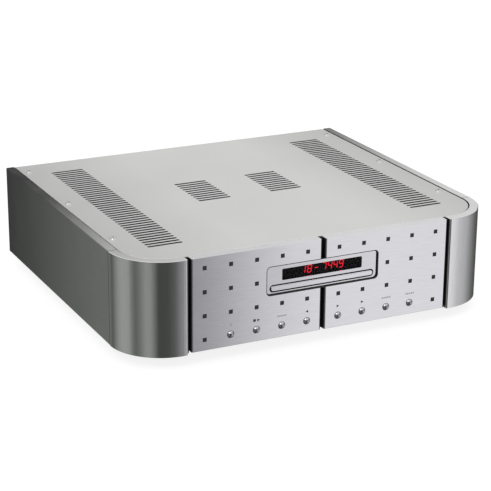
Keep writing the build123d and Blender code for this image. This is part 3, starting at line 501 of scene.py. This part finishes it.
def marks():
    """Printed marks over the buttons: a square, triangles and bars, and no letters."""
    dark, faint = bmesh.new(), bmesh.new()
    for name in BUTTONS:
        low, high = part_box(name)
        x, z = (low.x + high.x) / 2, (low.z + high.z) / 2 + MARK_LIFT
        if name == "button_stop":
            add_bar(dark, x - 2.4 * MM, z, 1.5 * MM, 1.5 * MM)
            add_triangle(dark, x + 2.6 * MM, z)
        elif name == "button_back":
            add_triangle(dark, x, z, -1)
        elif name in ("button_play", "button_forward"):
            add_triangle(dark, x, z)
        elif name == "button_power":
            add_bar(faint, x, z, 0.5 * MM, 1.4 * MM)
        else:
            for step in range(-2, 3):
                add_bar(faint, x + step * WORD_STEP, z, 0.7 * MM, 0.9 * MM)
    new_piece("panel_marks", dark, "ink", "chassis")
    new_piece("panel_marks_faint", faint, "faint_ink", "chassis")


# ---- Studio ----------------------------------------------------------------------------------
CAMERA_AZIMUTH = math.radians(-26.22)
CAMERA_ELEVATION = math.radians(19.22)
CAMERA_ROLL = math.radians(0.44)
CAMERA_TARGET = Vector((3.8, 0.7, 48.8)) * MM
CAMERA_DISTANCE = 1.985
CAMERA_LENS_MM = 122.34
SENSOR_MM = 36


def camera():
    """A long lens in front of the left corner, a little above the lid."""
    back = Vector((
        math.sin(CAMERA_AZIMUTH) * math.cos(CAMERA_ELEVATION),
        -math.cos(CAMERA_AZIMUTH) * math.cos(CAMERA_ELEVATION),
        math.sin(CAMERA_ELEVATION),
    ))
    level = (-back).cross(Vector((0, 0, 1))).normalized()
    upright = level.cross(-back)
    right = level * math.cos(CAMERA_ROLL) + upright * math.sin(CAMERA_ROLL)
    up = upright * math.cos(CAMERA_ROLL) - level * math.sin(CAMERA_ROLL)
    data = bpy.data.cameras.new("camera")
    data.sensor_width = SENSOR_MM
    data.lens = CAMERA_LENS_MM
    data.clip_end = 50
    holder = bpy.data.objects.new("camera", data)
    turn = Matrix((right, up, back)).transposed().to_4x4()
    holder.matrix_world = Matrix.Translation(CAMERA_TARGET + back * CAMERA_DISTANCE) @ turn
    bpy.context.scene.collection.objects.link(holder)
    bpy.context.scene.camera = holder


FLOOR_HALF = 12
FLOOR_GLOW = 0.85


def floor():
    """A sheet of white paper, bright enough that shadows on it stay faint."""
    mesh = bmesh.new()
    bmesh.ops.create_grid(mesh, x_segments=1, y_segments=1, size=FLOOR_HALF)
    data = bpy.data.meshes.new("floor")
    mesh.to_mesh(data)
    mesh.free()
    m = Material("floor_paper")
    m.set("Base Color", m.shades(m.noise(m.place(), 3.0), (0.24, 0.24, 0.24), (0.26, 0.26, 0.26)))
    m.set("Roughness", 0.9)
    m.set("Specular IOR Level", 0.0)
    m.set("Emission Color", (1.0, 1.0, 1.0, 1))
    m.set("Emission Strength", FLOOR_GLOW)
    data.materials.append(m.material)
    sheet = bpy.data.objects.new("floor", data)
    bpy.context.scene.collection.objects.link(sheet)
    sheet.visible_glossy = False


# Brightness round the horizon, as (direction in degrees from +X towards +Y, level). It is a ring
# of soft boxes and dark flags, which the upright metal reflects.
RING = [
    (0, 0.28), (14, 0.16), (30, 0.09), (60, 0.09), (100, 0.0), (107.4, 0.0), (108.8, 0.09),
    (111, 0.19), (120, 0.155), (127, 0.10), (136, 0.20), (150, 0.32), (160, 0.36), (176, 0.34),
    (184, 0.205), (192, 0.13), (200, 0.175), (216, 0.31), (225, 0.29), (233, 0.18),
    (241, 0.064), (262, 0.074), (276, 0.12), (290, 0.26), (294.4, 0.26), (296, 0.56),
    (298, 0.86), (303, 0.87), (320, 0.61), (344, 0.47),
]
COOL, GREENISH = (1.0, 0.99, 1.03), (0.985, 1.03, 0.99)
COOL_FROM = 280

# The sine of the height up to which the ring is seen
HORIZON = 0.05

# Heights over which the ring fades towards the floor, and the share of its light that is left
FADE_START, FADE_END, FADE_TO = math.radians(-30), math.radians(-50), 0.45

# The soft box overhead. Its light grows from dark to bright over these heights in degrees. Its
# edge slants, but only within a reach of one direction in degrees round the horizon.
BOX_EDGE_LOW, BOX_EDGE_HIGH = 13.7, 18.7
BOX_DARK, BOX_BRIGHT = 0.03, 0.84
BOX_SLANT, BOX_SLANT_MIDDLE, BOX_SLANT_REACH = 0.35, 60.5, 12.0

LAMP_AZIMUTH, LAMP_ELEVATION = math.radians(215), math.radians(50)
LAMP_EDGE, LAMP_CORE = math.radians(14), math.radians(9)
LAMP_BRIGHT = 3.0


def ring_light(tree, turn):
    """The ring's colour, at a turn from 0 to 1 round the horizon."""
    node = tree.add("ShaderNodeValToRGB")
    ramp = node.color_ramp
    while len(ramp.elements) > 1:
        ramp.elements.remove(ramp.elements[-1])
    for index, (degrees, level) in enumerate(RING + [(360, RING[0][1])]):
        element = ramp.elements[0] if index == 0 else ramp.elements.new(degrees / 360)
        element.position = degrees / 360
        element.color = (*scaled(COOL if degrees > COOL_FROM else GREENISH, level), 1)
    tree.put(node.inputs["Fac"], turn)
    return node.outputs["Color"]


def overhead_light(tree, turn, z):
    """A large soft box whose lower edge slants."""
    degrees_up = tree.calculate("MULTIPLY", tree.calculate("ARCSINE", z), 180 / math.pi)
    degrees_round = tree.calculate("MULTIPLY", turn, 360.0)
    aside = tree.calculate("SUBTRACT", degrees_round, BOX_SLANT_MIDDLE)
    aside = tree.calculate("MAXIMUM", aside, -BOX_SLANT_REACH)
    aside = tree.calculate("MINIMUM", aside, BOX_SLANT_REACH)
    above = tree.calculate("SUBTRACT", degrees_up, tree.calculate("MULTIPLY", aside, BOX_SLANT))
    return tree.remap(above, BOX_EDGE_LOW, BOX_EDGE_HIGH, BOX_DARK, BOX_BRIGHT, smooth=True)


def lamp_light(tree, direction):
    """A small lamp high on the left, which the domes of the buttons and screws catch."""
    node = tree.add("ShaderNodeVectorMath", operation="DOT_PRODUCT")
    tree.put(node.inputs[0], direction)
    node.inputs[1].default_value = (
        math.cos(LAMP_AZIMUTH) * math.cos(LAMP_ELEVATION),
        math.sin(LAMP_AZIMUTH) * math.cos(LAMP_ELEVATION),
        math.sin(LAMP_ELEVATION),
    )
    towards = node.outputs["Value"]
    return tree.remap(towards, math.cos(LAMP_EDGE), math.cos(LAMP_CORE), 0.0, LAMP_BRIGHT)


def background(tree, colour):
    node = tree.add("ShaderNodeBackground")
    node.inputs["Strength"].default_value = 1.0
    tree.put(node.inputs["Color"], colour)
    return node.outputs["Background"]


def world():
    """Light from overhead, a ring of light and dark round the horizon, and white in view."""
    studio = bpy.data.worlds.new("studio")
    studio.use_nodes = True
    bpy.context.scene.world = studio
    studio.node_tree.nodes.clear()
    tree = Tree(studio.node_tree)
    direction = tree.add("ShaderNodeTexCoord").outputs["Generated"]
    x, y, z = tree.axes(direction)
    turn = tree.calculate("DIVIDE", tree.calculate("ARCTAN2", y, x), 2 * math.pi)
    turn = tree.calculate("FRACT", tree.calculate("ADD", turn, 1.0))
    above = tree.calculate("ADD", overhead_light(tree, turn, z), lamp_light(tree, direction))
    fade = tree.remap(z, math.sin(FADE_END), math.sin(FADE_START), FADE_TO, 1.0)
    below = tree.scale(ring_light(tree, turn), fade)
    light = tree.mix(tree.calculate("GREATER_THAN", HORIZON, z), above, below)
    choose = tree.add("ShaderNodeMixShader")
    tree.put(choose.inputs["Fac"], tree.add("ShaderNodeLightPath").outputs["Is Camera Ray"])
    tree.put(choose.inputs[1], background(tree, light))
    tree.put(choose.inputs[2], background(tree, (1, 1, 1, 1)))
    output = tree.add("ShaderNodeOutputWorld")
    tree.put(output.inputs["Surface"], choose.outputs["Shader"])


dress_nodes()
digits()
marks()
camera()
floor()
world()
bpy.context.scene.view_settings.view_transform = "Standard"
